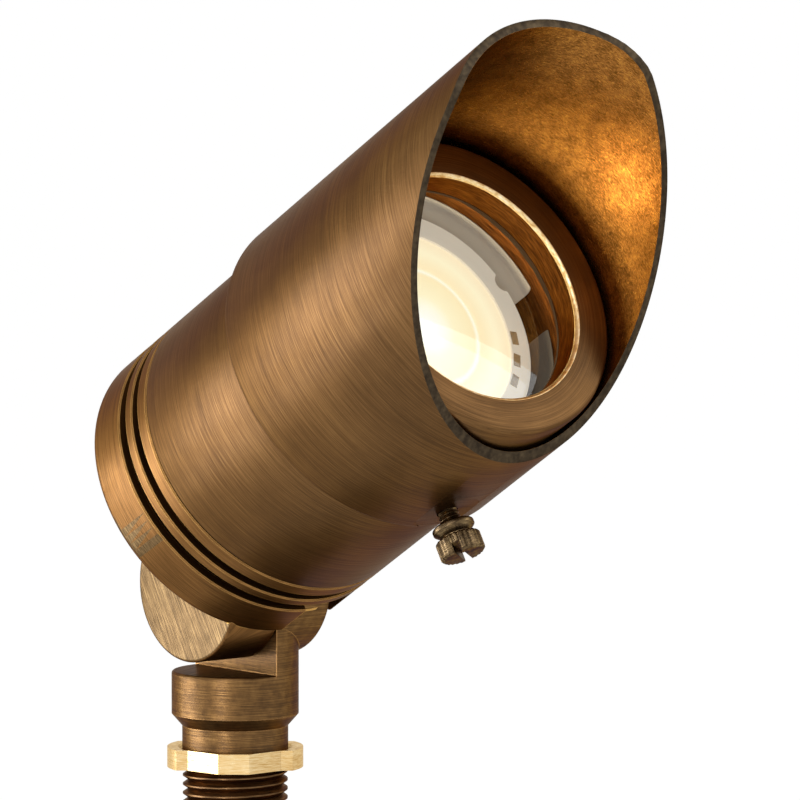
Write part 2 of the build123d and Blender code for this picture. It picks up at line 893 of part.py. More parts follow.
with BuildPart() as led_board:
    board_seat = board_station + seat_gap
    with BuildSketch(head.offset(board_seat)):
        Circle(lamp_cup_radius - seat_gap)
    extrude(amount=board_thickness)
    with BuildSketch(head.offset(board_seat + board_thickness)):
        with PolarLocations(chip_circle_radius, chip_count):
            Rectangle(chip_size, chip_size)
    extrude(amount=chip_height)
led_board.part.label = "led_board"

with BuildPart() as lamp_base:
    with BuildSketch(head.offset(lamp_base_station)):
        Circle(lamp_base_radius)
        Rectangle(2 * lamp_base_radius, 2 * lamp_base_half_width, mode=Mode.INTERSECT)
    extrude(amount=lamp_base_length)
    fillet(lamp_base.edges().group_by(head_axis)[0], edge_break)
lamp_base.part.label = "lamp_base"

with BuildPart() as lamp_pins:
    with BuildSketch(head.offset(lamp_base_station - pin_length)):
        with GridLocations(pin_spacing, 0, 2, 1):
            Circle(pin_radius)
    extrude(amount=pin_length)
    chamfer(lamp_pins.edges().group_by(head_axis)[0], edge_break)
lamp_pins.part.label = "lamp_pins"

# ================= Socket, bracket and leads =================

tab_offset = socket_radius + seat_gap + bracket_thickness / 2

with BuildPart() as socket_body:
    with BuildSketch(head.offset(socket_station)):
        Circle(socket_radius)
        Rectangle(2 * socket_radius, 2 * socket_half_width, mode=Mode.INTERSECT)
    extrude(amount=socket_length)
    with BuildSketch(head.offset(socket_station + contact_inset)):
        with GridLocations(pin_spacing, 0, 2, 1):
            Circle(contact_radius + seat_gap)
    extrude(amount=socket_length, mode=Mode.SUBTRACT)
socket_body.part.label = "socket_body"

with BuildPart() as socket_contacts:
    with BuildSketch(head.offset(socket_station + contact_inset)):
        with GridLocations(pin_spacing, 0, 2, 1):
            Circle(contact_radius)
            Circle(contact_bore, mode=Mode.SUBTRACT)
    extrude(amount=socket_length - 2 * contact_inset)
socket_contacts.part.label = "socket_contacts"

with BuildPart() as socket_bracket:
    with BuildSketch(head.offset(bracket_station)):
        RectangleRounded(bracket_length, bracket_width, bracket_corner)
        with GridLocations(post_spacing, 0, 2, 1):
            Circle(post_screw_radius + running_fit, mode=Mode.SUBTRACT)
    extrude(amount=bracket_thickness)
    with BuildSketch(head.offset(socket_station)):
        with GridLocations(2 * tab_offset, 0, 2, 1):
            Rectangle(bracket_thickness, bracket_width)
    extrude(amount=bracket_tab_height)
socket_bracket.part.label = "socket_bracket"

with BuildPart() as socket_screws:
    with BuildSketch(head.offset(bracket_station - post_screw_length)):
        with GridLocations(post_spacing, 0, 2, 1):
            Circle(post_screw_radius)
    extrude(amount=post_screw_length + bracket_thickness)
    with BuildSketch(head.offset(socket_station)):
        with GridLocations(post_spacing, 0, 2, 1):
            Circle(post_screw_head_radius)
    extrude(amount=post_screw_head_height)
    fillet(socket_screws.edges().group_by(head_axis)[-1], post_screw_head_round)
    with BuildSketch(head.offset(socket_station + post_screw_head_height / 2)):
        with GridLocations(post_spacing, 0, 2, 1):
            Rectangle(post_screw_head_radius, post_screw_slot)
            Rectangle(post_screw_slot, post_screw_head_radius)
    extrude(amount=post_screw_head_height, mode=Mode.SUBTRACT)
socket_screws.part.label = "socket_screws"

boss_top = ear_radius + ear_clearance + relief_wall - pivot_behind_rim
lead_seal_top = boss_top + edge_break

with BuildPart() as lead_seal:
    with BuildSketch(head.offset(lead_seal_top - lead_seal_length)):
        with Locations((-lead_hole_offset, -pivot_below_axis)):
            Circle(lead_hole_radius - seat_gap)
    extrude(amount=lead_seal_length)
lead_seal.part.label = "lead_seal"

with BuildPart() as socket_leads:
    for side in (-0.5, 0.5):
        lead_plane = head_section.offset(side * lead_spacing - lead_hole_offset)
        with BuildLine(lead_plane) as lead_route:
            FilletPolyline(
                (-pivot_below_axis, lead_seal_top),
                (-pivot_below_axis, lead_station),
                (-socket_half_width, lead_station),
                radius=lead_bend,
            )
        with BuildSketch(head.offset(lead_seal_top)):
            with Locations((side * lead_spacing - lead_hole_offset, -pivot_below_axis)):
                Circle(lead_radius)
        sweep(path=lead_route.wire())
socket_leads.part.label = "socket_leads"

# ================= Files =================

pieces = (
    ground_spike,
    knuckle_stem,
    lock_nut,
    rear_housing,
    knuckle_bolt,
    bolt_washer,
    spring_washer,
    knuckle_seal,
    barrel_seal,
    barrel,
    lens_glass,
    lens_gasket,
    lens_retaining_ring,
    inner_labels,
    shroud,
    shroud_o_ring,
    thumbscrew,
    lamp_rim,
    lamp_optic,
    lamp_body,
    led_board,
    lamp_base,
    lamp_pins,
    socket_body,
    socket_contacts,
    socket_bracket,
    socket_screws,
    lead_seal,
    socket_leads,
)

os.makedirs("parts", exist_ok=True)
for piece in pieces:
    export_step(piece.part, f"parts/{piece.part.label}.step")
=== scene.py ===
import math

import bpy
from mathutils import Matrix, Vector


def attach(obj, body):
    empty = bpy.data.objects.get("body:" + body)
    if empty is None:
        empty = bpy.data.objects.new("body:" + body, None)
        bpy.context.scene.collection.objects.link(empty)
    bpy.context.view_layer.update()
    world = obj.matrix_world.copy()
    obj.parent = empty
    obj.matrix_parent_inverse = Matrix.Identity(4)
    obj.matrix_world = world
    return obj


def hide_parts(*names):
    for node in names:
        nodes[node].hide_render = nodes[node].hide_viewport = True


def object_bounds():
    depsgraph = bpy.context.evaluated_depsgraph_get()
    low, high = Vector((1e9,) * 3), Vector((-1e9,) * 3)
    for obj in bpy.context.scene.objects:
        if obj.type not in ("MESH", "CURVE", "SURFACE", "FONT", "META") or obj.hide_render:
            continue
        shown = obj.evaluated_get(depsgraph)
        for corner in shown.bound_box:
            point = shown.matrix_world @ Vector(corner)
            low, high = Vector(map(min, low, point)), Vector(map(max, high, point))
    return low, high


# The looks of a garden spike spotlight in aged brass, lit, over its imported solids.
# Sizes are millimetres, as in the part's source, and MM makes them Blender's metres.
# A station is a distance along the lamp axis, ahead of the rear housing's rear face.

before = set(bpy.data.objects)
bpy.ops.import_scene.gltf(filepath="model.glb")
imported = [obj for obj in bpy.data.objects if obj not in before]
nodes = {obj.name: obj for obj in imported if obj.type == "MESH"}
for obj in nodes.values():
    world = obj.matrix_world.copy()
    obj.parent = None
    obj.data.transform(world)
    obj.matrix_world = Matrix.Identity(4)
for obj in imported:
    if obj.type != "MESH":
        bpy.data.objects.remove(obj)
cad_box = [list(corner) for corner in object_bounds()]
MM = 0.001

# ---- Stance ----
pivot_height = 58.0
head_elevation = 31.15
pivot_behind_rim = 7.2
pivot_below_axis = 17.06

# ---- Head ----
head_middle_station = 60.0
barrel_radius = 31.67
barrel_bore = 28.67
barrel_rear = 20.075
o_ring_low = 70.3
o_ring_high = 72.7
o_ring_floor = 30.27
bezel_station = 87.0
bezel_bore = 23.93
bezel_round = 0.9
bezel_round_middle = 0.27  # from the corner, both ways
bezel_chamfer = 0.55
lip_station = 81.0
glass_station = 76.9
retainer_station = 75.4
retainer_floor = 29.57
shroud_radius = 34.24
shroud_bore = 32.54
shroud_rear = 51.9
shroud_front = 129.5
shroud_rear_round = 0.7
shroud_round_middle = 0.2
hood_cut_station = 109.2
hood_cut_angle = 41.2
hood_cut_blend = 14.0
hood_blend_steps = 8
hood_clocking = -6.0
grooves = ((9.9, 12.2), (14.5, 16.5))  # the stations of each groove's walls
groove_floor = 29.67
groove_mouth = 0.35  # depth of the bright edge that a groove keeps
ear_radius = 15.1
flat_of_ear = 0.9  # how squarely a face of the ear looks along the tilt axis
bright_lip_reach = 0.15  # past the bezel's chamfer

# ---- Thumbscrew ----
screw_station = 57.6
screw_spot = 33.74
screw_spot_radius = 6.4
screw_tip = 31.72
screw_crest = 2.07
screw_root = 1.72
screw_pitch = 0.8
collar_start = 36.44
collar_radius = 4.2
collar_height = 2.3
collar_break = 0.35
collar_neck_radius = 2.9
head_start = 39.24
head_end = 43.14
head_break = 0.35
head_chamfer = 0.45
head_top_share = 0.9
screw_head_radius = 4.5
screw_hole_gap = 0.08
screw_hole_depth = 8.0  # more than the hood's wall, both ways from its outside
knurls = 24
corners_per_knurl = 4  # two on a ridge, two in the furrow beside it
knurl_depth = 0.3
slot_angle = 53.0
slot_width = 1.5
slot_cutter_length = 13.5  # more than the head is wide
slot_depth = 2.0

# ---- Stem and nut ----
stem_bore_radius = 4.5
thread_crest_radius = 10.5
thread_root_radius = 9.4
thread_pitch = 1.814
crest_span = (0.42, 0.58)  # of the pitch, flat at the crest
thread_low = -4.0
thread_high = 24.6

# ---- Lamp ----
lamp_radius = 25.0
lamp_front = 69.0
lamp_rim_rear = 64.0
lamp_round = 0.8
lamp_round_middle = 0.25
optic_radius = 20.2
optic_seat_gap = 0.05
optic_recess = 0.5
optic_rear = 65.9
optic_eye = 0.3  # radius of the flat at the middle
optic_crown = ((13.8, 0.15), (13.1, -0.25), (12.3, 0.05), (8.0, 0.3), (3.0, 0.45))
optic_rise = 0.5
window_radius = 21.35
window_depth = 1.6
window_width = 2.9
window_height = 3.0
window_margin = 0.3  # from a window's shaded walls to the rim's own faces
window_floor = 0.5
window_angles = (101.0, 114.5, 128.0, -19.0, -5.5, 8.0, -112.0, -125.5, -139.0)
notch_angle = 71.0
notch_radius = 2.0
notch_height = 6.0  # half of it over the rim's face

# ---- Labels inside the barrel ----
label_radius = 28.58
label_rear = 60.0
label_front = 71.0
label_thickness = 0.13
label_corner = 2.5
label_corner_steps = 6
label_steps = 60
label_spans = ((-24.0, 80.0), (97.0, 137.0))

# ---- Worn edges ----
edge_steps = 2
barrel_edge_width = 0.18
hood_edge_width = 0.2
knurl_edge_width = 0.08
collar_edge_width = 0.12
nut_edge_width = 0.15
nut_edge_angle = 12.0
spike_edge_width = 0.4
lamp_edge_width = 0.15

# ---- Finish of the mesh ----
facets = 256  # round the head, so that its outline shows no corners
fine_facets = 192
small_facets = 128
hole_facets = 48
screw_facets = 64
weld = 1e-6
flat_within = 0.3  # degrees
smooth_angle = 35.0
housing_smooth_angle = 30.0
near = 0.1  # on a surface, if no further from it than this
inside = 1.0  # well within a form
overlap = 0.1  # how far joined pieces reach into each other


def placed(x, y, z, origin):
    """The matrix of a frame, from its three axes and its origin."""
    return Matrix.Translation(origin) @ Matrix((x, y, z)).transposed().to_4x4()


tilt = math.radians(head_elevation)
lamp_direction = Vector((0, -math.cos(tilt), math.sin(tilt)))
up_side = Vector((0, math.sin(tilt), math.cos(tilt)))
across = Vector((1, 0, 0))
pivot = Vector((0, 0, pivot_height)) * MM
rim_centre = pivot + (lamp_direction * pivot_behind_rim + up_side * pivot_below_axis) * MM
head = placed(across, up_side, lamp_direction, rim_centre)
screw_origin = rim_centre + lamp_direction * screw_station * MM
screw = placed(lamp_direction, -across, -up_side, screw_origin)
upright = Matrix.Identity(4)


# ================= Modelling by hand, in small steps =================


def hold(piece):
    """Selects one piece and nothing else."""
    bpy.ops.object.select_all(action="DESELECT")
    piece.select_set(True)
    bpy.context.view_layer.objects.active = piece


def start(name, make, **size):
    """Adds a primitive with nothing else selected, and names it."""
    bpy.ops.object.select_all(action="DESELECT")
    make(**size)
    piece = bpy.context.object
    piece.name = name
    piece.data.name = name
    bpy.ops.object.transform_apply()
    return piece


def open_mesh(piece, select="SELECT"):
    """Enters edit mode on a piece, with all of it selected or none."""
    hold(piece)
    bpy.ops.object.mode_set(mode="EDIT")
    bpy.ops.mesh.select_all(action=select)


def close_mesh():
    bpy.ops.object.mode_set(mode="OBJECT")


def open_part(piece, kind, chosen):
    """Enters edit mode with only the chosen vertices or faces of a piece selected."""
    open_mesh(piece, "DESELECT")
    bpy.ops.mesh.select_mode(type=kind)
    close_mesh()
    parts = piece.data.vertices if kind == "VERT" else piece.data.polygons
    for part in parts:
        part.select = chosen(part)
    hold(piece)
    bpy.ops.object.mode_set(mode="EDIT")


def close_surface():
    """Turns all the normals of the open mesh outwards, and leaves edit mode."""
    bpy.ops.mesh.select_all(action="SELECT")
    bpy.ops.mesh.normals_make_consistent(inside=False)
    close_mesh()


def turned(name, outline, steps=facets, closed=True):
    """A piece turned about local Z: a circle drawn out from corner to corner of its outline."""
    radius, station = outline[0]
    piece = start(
        name,
        bpy.ops.mesh.primitive_circle_add,
        vertices=steps,
        radius=radius * MM,
        location=(0, 0, station * MM),
    )
    open_mesh(piece)
    for wide, high in outline[1:]:
        rise = {"value": (0, 0, (high - station) * MM)}
        bpy.ops.mesh.extrude_region_move(TRANSFORM_OT_translate=rise)
        share = wide / radius
        bpy.ops.transform.resize(value=(share, share, 1), center_override=(0, 0, high * MM))
        radius, station = wide, high
    bpy.ops.mesh.select_all(action="SELECT")
    bpy.ops.mesh.remove_doubles(threshold=weld)
    if closed:
        bpy.ops.mesh.fill_holes(sides=0)
    close_surface()
    return piece


def drawn(name, corners):
    """A line in the local XZ plane, drawn out of one point from corner to corner."""
    piece = start(name, bpy.ops.mesh.primitive_plane_add, size=MM)
    open_mesh(piece)
    bpy.ops.mesh.merge(type="CENTER")
    x, z = corners[0]
    bpy.ops.transform.translate(value=(x * MM, 0, z * MM))
    for next_x, next_z in corners[1:]:
        step = {"value": ((next_x - x) * MM, 0, (next_z - z) * MM)}
        bpy.ops.mesh.extrude_region_move(TRANSFORM_OT_translate=step)
        x, z = next_x, next_z
    close_mesh()
    return piece


def apply(piece, modifier):
    hold(piece)
    bpy.ops.object.modifier_apply(modifier=modifier.name)


def thread(name, crest, root, low, high, pitch, steps):
    """A screw thread on its core: one ridge wound up the local Z axis."""
    turns = math.ceil((high - low) / pitch)
    crest_low, crest_high = (share * pitch for share in crest_span)
    ridge = [(root, 0), (crest, crest_low), (crest, crest_high), (root, pitch)]
    piece = drawn(name, [(x, low + z) for x, z in ridge])
    wind = piece.modifiers.new("wind", "SCREW")
    wind.axis = "Z"
    wind.angle = math.tau
    wind.screw_offset = pitch * MM
    wind.steps = steps
    wind.render_steps = steps
    wind.iterations = turns
    wind.use_merge_vertices = True
    apply(piece, wind)
    open_mesh(piece)
    bpy.ops.mesh.remove_doubles(threshold=weld)
    bpy.ops.mesh.bisect(plane_co=(0, 0, high * MM), plane_no=(0, 0, 1), clear_outer=True)
    close_surface()
    return piece


def cut(piece, tool):
    """Cuts a piece with another, and clears the other away."""
    change = piece.modifiers.new("cut", "BOOLEAN")
    change.operation = "DIFFERENCE"
    change.solver = "EXACT"
    change.object = tool
    apply(piece, change)
    bpy.data.objects.remove(tool)


def join(piece, *others):
    """Makes one mesh of several."""
    hold(piece)
    for other in others:
        other.select_set(True)
    bpy.ops.object.join()


def place(piece, where):
    """Moves a piece made about the origin to its place, and keeps that place in its mesh."""
    piece.matrix_world = where
    hold(piece)
    bpy.ops.object.transform_apply()


def wear(piece, width, sharper_than=32.0, finish=1):
    """Rounds the sharp edges; the narrow strips take the second finish, bright from handling and
    from a painted highlight.
    """
    change = piece.modifiers.new("edges", "BEVEL")
    change.width = width * MM
    change.segments = edge_steps
    change.limit_method = "ANGLE"
    change.angle_limit = math.radians(sharper_than)
    change.material = finish
    apply(piece, change)


def smooth(piece, angle=smooth_angle):
    hold(piece)
    bpy.ops.object.shade_smooth_by_angle(angle=math.radians(angle))


def copy_of(name, cad_node):
    """A copy of a CAD node's mesh, welded, with its flat faces whole again."""
    mesh = nodes[cad_node].data.copy()
    mesh.materials.clear()
    piece = bpy.data.objects.new(name, mesh)
    bpy.context.scene.collection.objects.link(piece)
    hold(piece)
    bpy.ops.mesh.customdata_custom_splitnormals_clear()
    open_mesh(piece)
    bpy.ops.mesh.remove_doubles(threshold=2 * weld)
    bpy.ops.mesh.dissolve_limited(angle_limit=math.radians(flat_within))
    close_surface()
    return piece


def in_head(point):
    """A point's distance from the lamp axis, and its station."""
    x, y, z = head.inverted() @ point
    return math.hypot(x, y) / MM, z / MM


def add_piece(piece, body, finishes, stands_for=()):
    """Gives a finished piece its materials and its body, and hides the CAD nodes that it stands
    for.
    """
    for finish in finishes:
        piece.data.materials.append(finish)
    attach(piece, body)
    if stands_for:
        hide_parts(*stands_for)


# ================= Finishes =================


def linear(code):
    """An sRGB hex colour, as Blender's linear one."""
    parts = [int(code[i : i + 2], 16) / 255 for i in (1, 3, 5)]
    return (*[c / 12.92 if c <= 0.04045 else ((c + 0.055) / 1.055) ** 2.4 for c in parts], 1)


def node(material, kind, values=None, links=None, stops=None, **settings):
    """Adds a shader node with its settings, its sockets' values, its links and a ramp's stops."""
    made = material.node_tree.nodes.new(kind)
    for key, value in settings.items():
        setattr(made, key, value)
    for socket, value in (values or {}).items():
        made.inputs[socket].default_value = value
    for socket, source in (links or {}).items():
        material.node_tree.links.new(source, made.inputs[socket])
    if stops:
        ramp = made.color_ramp.elements
        while len(ramp) < len(stops):
            ramp.new(0.5)
        for element, (position, colour) in zip(ramp, stops):
            element.position = position
            element.color = linear(colour)
    return made


def blank(name):
    """A material with one Principled shader and its output."""
    material = bpy.data.materials.new(name)
    material.use_nodes = True
    return material, material.node_tree.nodes["Principled BSDF"]


def local(material, where):
    """Object coordinates in a piece's own frame, in millimetres."""
    back = where.inverted()
    coordinates = node(material, "ShaderNodeTexCoord")
    turned_back = node(
        material,
        "ShaderNodeMapping",
        {
            "Location": back.translation / MM,
            "Rotation": back.to_euler(),
            "Scale": (1 / MM, 1 / MM, 1 / MM),
        },
        {"Vector": coordinates.outputs["Object"]},
    )
    return turned_back.outputs["Vector"]


mottle_per_mm = 0.12  # slow patches, some 8 mm across
mottle_shade = 0.84  # of the colour, where a patch is darkest
grain_depth = 0.05


def plain(name, colour, roughness, metallic=0.0, grain=0.0, grain_size=0.5, lit=None, shine=0.5):
    """Moulded or plain metal: one colour, slightly uneven, with a fine grain in millimetres."""
    material, shader = blank(name)
    mm = local(material, upright)
    grains = node(
        material, "ShaderNodeTexNoise", {"Scale": 1 / grain_size, "Detail": 3.0}, {"Vector": mm}
    )
    clouds = node(
        material, "ShaderNodeTexNoise", {"Scale": mottle_per_mm, "Detail": 2.0}, {"Vector": mm}
    )
    base = linear(colour)
    darker = tuple(part * mottle_shade for part in base[:3]) + (1,)
    tint = node(
        material,
        "ShaderNodeMix",
        {6: base, 7: darker},
        {0: clouds.outputs["Fac"]},
        data_type="RGBA",
    )
    material.node_tree.links.new(tint.outputs[2], shader.inputs["Base Color"])
    shader.inputs["Roughness"].default_value = roughness
    shader.inputs["Metallic"].default_value = metallic
    shader.inputs["Specular IOR Level"].default_value = shine
    if lit:
        shader.inputs["Emission Color"].default_value = linear(lit[0])
        shader.inputs["Emission Strength"].default_value = lit[1]
    if grain > 0:
        bump = node(
            material,
            "ShaderNodeBump",
            {"Strength": grain, "Distance": grain_depth * MM},
            {"Height": grains.outputs["Fac"]},
        )
        material.node_tree.links.new(bump.outputs["Normal"], shader.inputs["Normal"])
    return material


radius_share = 1.37  # keeps the lines of a flat face from meeting those of the wall beside it


def turned_round(material, mm):
    """Coordinates that follow lathe lines: an arc of one radius, and the way across the lines."""
    flat = node(material, "ShaderNodeVectorMath", {1: (1, 1, 0)}, {0: mm}, operation="MULTIPLY")
    radius = node(
        material, "ShaderNodeVectorMath", links={0: flat.outputs[0]}, operation="LENGTH"
    )
    spoke = node(
        material, "ShaderNodeVectorMath", links={0: flat.outputs[0]}, operation="NORMALIZE"
    )
    arc = node(
        material,
        "ShaderNodeVectorMath",
        {"Scale": barrel_radius},
        {0: spoke.outputs[0]},
        operation="SCALE",
    )
    parts = node(material, "ShaderNodeSeparateXYZ", links={"Vector": mm})
    across_lines = node(
        material,
        "ShaderNodeMath",
        {1: radius_share},
        {0: radius.outputs["Value"], 2: parts.outputs["Z"]},
        operation="MULTIPLY_ADD",
    )
    lift = node(material, "ShaderNodeCombineXYZ", links={"Z": across_lines.outputs[0]})
    lines = node(
        material,
        "ShaderNodeVectorMath",
        links={0: arc.outputs[0], 1: lift.outputs["Vector"]},
        operation="ADD",
    )
    return lines.outputs[0]


# Real brush lines are some 0.05 mm broad. They are drawn about four times as broad, so that
# they still show at arm's length.
streak_sets = ((0.03, 1.0), (-0.08, 1.7))  # turn in radians, and fineness, of the crossing sets
streak_range = {"From Min": 0.72, "From Max": 1.28}
streak_weight = 0.42  # of the tone comes from the streaks, the rest from the clouds
tone_stops = (0.30, 0.52, 0.78)
roughness_swing = 0.06
streak_depth = 0.03
coat_roughness = 0.3
edge_wear_and_glint_width = 0.45  # of the line, worn and painted bright, along a sharp edge
edge_wear_and_glint_range = {"From Min": 0.985, "From Max": 0.86, "To Max": 0.9}


def brushed_brass(
    name,
    where,
    tones,
    brush,
    roughness,
    relief=0.2,
    cloud=18.0,
    turned_part=False,
    edge="#a4947c",
    coat=0.12,
    edge_wear_and_glint=None,
):
    """Brass under a bronze patina, then brushed: streaks of a length and breadth in mm."""
    material, shader = blank(name)
    mm = local(material, where)
    clouds = node(
        material,
        "ShaderNodeTexNoise",
        {"Scale": 1 / cloud, "Detail": 4.0, "Roughness": 0.6},
        {"Vector": mm},
    )
    lines = turned_round(material, mm) if turned_part else mm
    grain = []
    for turn, fineness in streak_sets:
        tilted = node(
            material,
            "ShaderNodeMapping",
            {"Rotation": (turn, turn / 2, 0)},
            {"Vector": lines},
        )
        stretched = node(
            material,
            "ShaderNodeMapping",
            {"Scale": tuple(fineness / size for size in brush)},
            {"Vector": tilted.outputs["Vector"]},
        )
        streaks = node(
            material,
            "ShaderNodeTexNoise",
            {"Scale": 1.0, "Detail": 2.0, "Roughness": 0.6},
            {"Vector": stretched.outputs["Vector"]},
        )
        grain.append(streaks.outputs["Fac"])
    both = node(material, "ShaderNodeMath", links={0: grain[0], 1: grain[1]}, operation="ADD")
    spread = node(material, "ShaderNodeMapRange", streak_range, {"Value": both.outputs[0]})
    tone = node(
        material,
        "ShaderNodeMix",
        {0: streak_weight},
        {2: clouds.outputs["Fac"], 3: spread.outputs["Result"]},
        data_type="FLOAT",
    )
    colours = node(
        material,
        "ShaderNodeValToRGB",
        links={"Fac": tone.outputs[0]},
        stops=tuple(zip(tone_stops, tones)),
    )
    rough = node(
        material,
        "ShaderNodeMapRange",
        {"To Min": roughness + roughness_swing, "To Max": roughness - roughness_swing},
        {"Value": spread.outputs["Result"]},
    )
    bump = node(
        material,
        "ShaderNodeBump",
        {"Strength": relief, "Distance": streak_depth * MM},
        {"Height": spread.outputs["Result"]},
    )
    links = material.node_tree.links
    # a golden line along the sharp edges: partly wear, partly painted highlight
    if edge_wear_and_glint:
        rounded = node(material, "ShaderNodeBevel", {"Radius": edge_wear_and_glint_width * MM}, samples=6)
        shape = node(material, "ShaderNodeNewGeometry")
        turn_away = node(
            material,
            "ShaderNodeVectorMath",
            links={0: rounded.outputs["Normal"], 1: shape.outputs["Normal"]},
            operation="DOT_PRODUCT",
        )
        at_edge = node(
            material, "ShaderNodeMapRange", edge_wear_and_glint_range, {"Value": turn_away.outputs["Value"]}
        )
        colours_with_edges = node(
            material,
            "ShaderNodeMix",
            {7: linear(edge_wear_and_glint)},
            {0: at_edge.outputs["Result"], 6: colours.outputs["Color"]},
            data_type="RGBA",
        )
        links.new(colours_with_edges.outputs[2], shader.inputs["Base Color"])
    else:
        links.new(colours.outputs["Color"], shader.inputs["Base Color"])
    links.new(rough.outputs["Result"], shader.inputs["Roughness"])
    links.new(bump.outputs["Normal"], shader.inputs["Normal"])
    shader.inputs["Metallic"].default_value = 1.0
    shader.inputs["Specular Tint"].default_value = linear(edge)
    shader.inputs["Coat Weight"].default_value = coat
    shader.inputs["Coat Roughness"].default_value = coat_roughness
    return material


# brown patina with fine lathe lines and broad soft highlights
head_brass = brushed_brass(
    "turned_brass_bronze_patina",
    head,
    ("#543b20", "#674929", "#7d5c36"),
    (26, 26, 0.2),
    0.45,
    0.15,
    turned_part=True,
)
# the hood's inside, golden and cloudy in the lamp's light
inside_brass = brushed_brass(
    "hood_inside_brass_lacquered",
    head,
    ("#64400f", "#94602a", "#be8536"),
    (0.9, 0.9, 0.3),
    0.3,
    0.6,
    3.0,
    turned_part=True,
    coat=0.08,
)
# painted shade: a deep amber inside the bezel's bore
bore_painted_shade = brushed_brass(
    "bezel_bore_amber_painted_shade",
    head,
    ("#2c180a", "#502e12", "#704620"),
    (6, 6, 0.3),
    0.45,
    turned_part=True,
    coat=0.0,
)
# the thin bright line round the bezel's mouth: bared brass with a painted highlight of the lamp's
# light
bright_lip = brushed_brass(
    "bezel_lip_bared_brass_painted_highlight", head, ("#cfa468", "#f0d39a", "#fff0cc"), (2, 2, 0.6), 0.4, 0.5, 2.0
)
# the same patina, a little warmer, with golden edges: partly wear, partly painted highlight
housing_brass = brushed_brass(
    "cast_brass_turned_warm_patina",
    head,
    ("#5c3f1e", "#74502a", "#8d6538"),
    (26, 26, 0.2),
    0.42,
    0.15,
    turned_part=True,
    edge_wear_and_glint="#c79a55",
)
# narrow golden lines on the edges: partly wear from hands, partly painted highlight
worn_edge_and_glint_brass = brushed_brass(
    "brass_edge_wear_and_painted_glint", head, ("#7a5527", "#a57c42", "#cfa766"), (6, 6, 0.3), 0.3
)
# near-black rings in the deep grooves
groove_patina = brushed_brass(
    "groove_black_patina", head, ("#120d08", "#1d160e", "#332415"), (10, 10, 0.3), 0.5
)
# a dull dark rim round the hood's mouth
hood_edge = brushed_brass(
    "hood_edge_filed_patina", head, ("#332a1f", "#43382a", "#544735"), (2, 2, 2), 0.5, 0.15, 9.0
)
# straight brush lines on the flat of the ear, with a golden rim that is partly wear, partly
# painted highlight
ear_brass = brushed_brass(
    "cast_ear_face_brushed_patina",
    head,
    ("#46361f", "#634d31", "#836a45"),
    (1.0, 14, 0.22),
    0.42,
    0.3,
    6.0,
    edge_wear_and_glint="#c8963f",
)
# the stem's mottled brown, with golden edges: partly wear, partly painted highlight
cast_brass = brushed_brass(
    "cast_brass_bronze_patina",
    upright,
    ("#4d3720", "#684b2a", "#87653b"),
    (20, 20, 0.16),
    0.42,
    0.3,
    2.0,
    edge_wear_and_glint="#c8975c",
)
# the pale yellow gleam of the nut
bare_brass = brushed_brass(
    "machined_bare_brass",
    upright,
    ("#c0985a", "#d9b981", "#ecd5a6"),
    (3, 3, 0.2),
    0.32,
    0.12,
    12.0,
    edge="#f0e0c0",
)
# a darker brown on the stem's thread, whose roots fall into shade
thread_brass = brushed_brass(
    "thread_brass_dark", upright, ("#44301d", "#6b4e30", "#94714a"), (4, 4, 0.2), 0.38
)
# a greyer brown, so that the screw stands out from the hood
screw_brass = brushed_brass(
    "screw_brass_dark_patina",
    screw,
    ("#3a2e20", "#5c4a32", "#8a7450"),
    (2, 2, 0.15),
    0.33,
    0.25,
    3.0,
)
# grey glints on the bolt, its washers and the bracket
steel = plain("stainless_steel_stamped", "#9a9a98", 0.32, metallic=1.0, grain=0.1)
# painted shade: a dark brown that keeps the ring behind the glass dark
ring_painted_shade = plain("retaining_ring_painted_shade", "#2b221a", 0.5, metallic=1.0, grain=0.1)
# dull black lines at the seals
rubber = plain("silicone_black_moulded", "#17181a", 0.55, grain=0.2, grain_size=0.3)
# soft black with a moulded grain
spike_plastic = plain("abs_black_moulded_matt", "#1b1c1d", 0.52, grain=0.35, grain_size=0.35)
# smooth warm white
lamp_white = plain("polycarbonate_white_moulded", "#f0ece0", 0.35)
# the rim's white, with light coming through it from behind
lit_white = plain("polycarbonate_white_lit_through", "#e9e2d6", 0.35, lit=("#fff1de", 0.45))
# a tan shade in the rim's windows
window_shade = plain("polycarbonate_window_in_shade", "#8f7d66", 0.5, lit=("#a58d6c", 0.35))
# dry, chalky white
ceramic = plain("steatite_ceramic_unglazed", "#e6e0d2", 0.6, grain=0.2)
# soft off-white on the leads
sleeve = plain("silicone_sleeving_white", "#dcd8cc", 0.5)
# flat, even white
board = plain("solder_mask_white", "#e8e8e2", 0.4)
# small bright pins and contacts
plated = plain("nickel_plate_bright", "#c8c6c0", 0.2, metallic=1.0)
# a bare off-white label
label_vinyl = plain("vinyl_label_blank", "#f2ece6", 0.45)
# the second label: its own grey, darkened further with painted shade
label_grey_in_painted_shade = plain("vinyl_label_grey_painted_shade", "#7b726a", 0.5)
# a dusty brown-black ring under the glass, with hardly a glint
seal_dusty = plain(
    "silicone_lens_seal_dusty", "#2b1d12", 0.9, grain=0.3, grain_size=0.2, shine=0.1
)

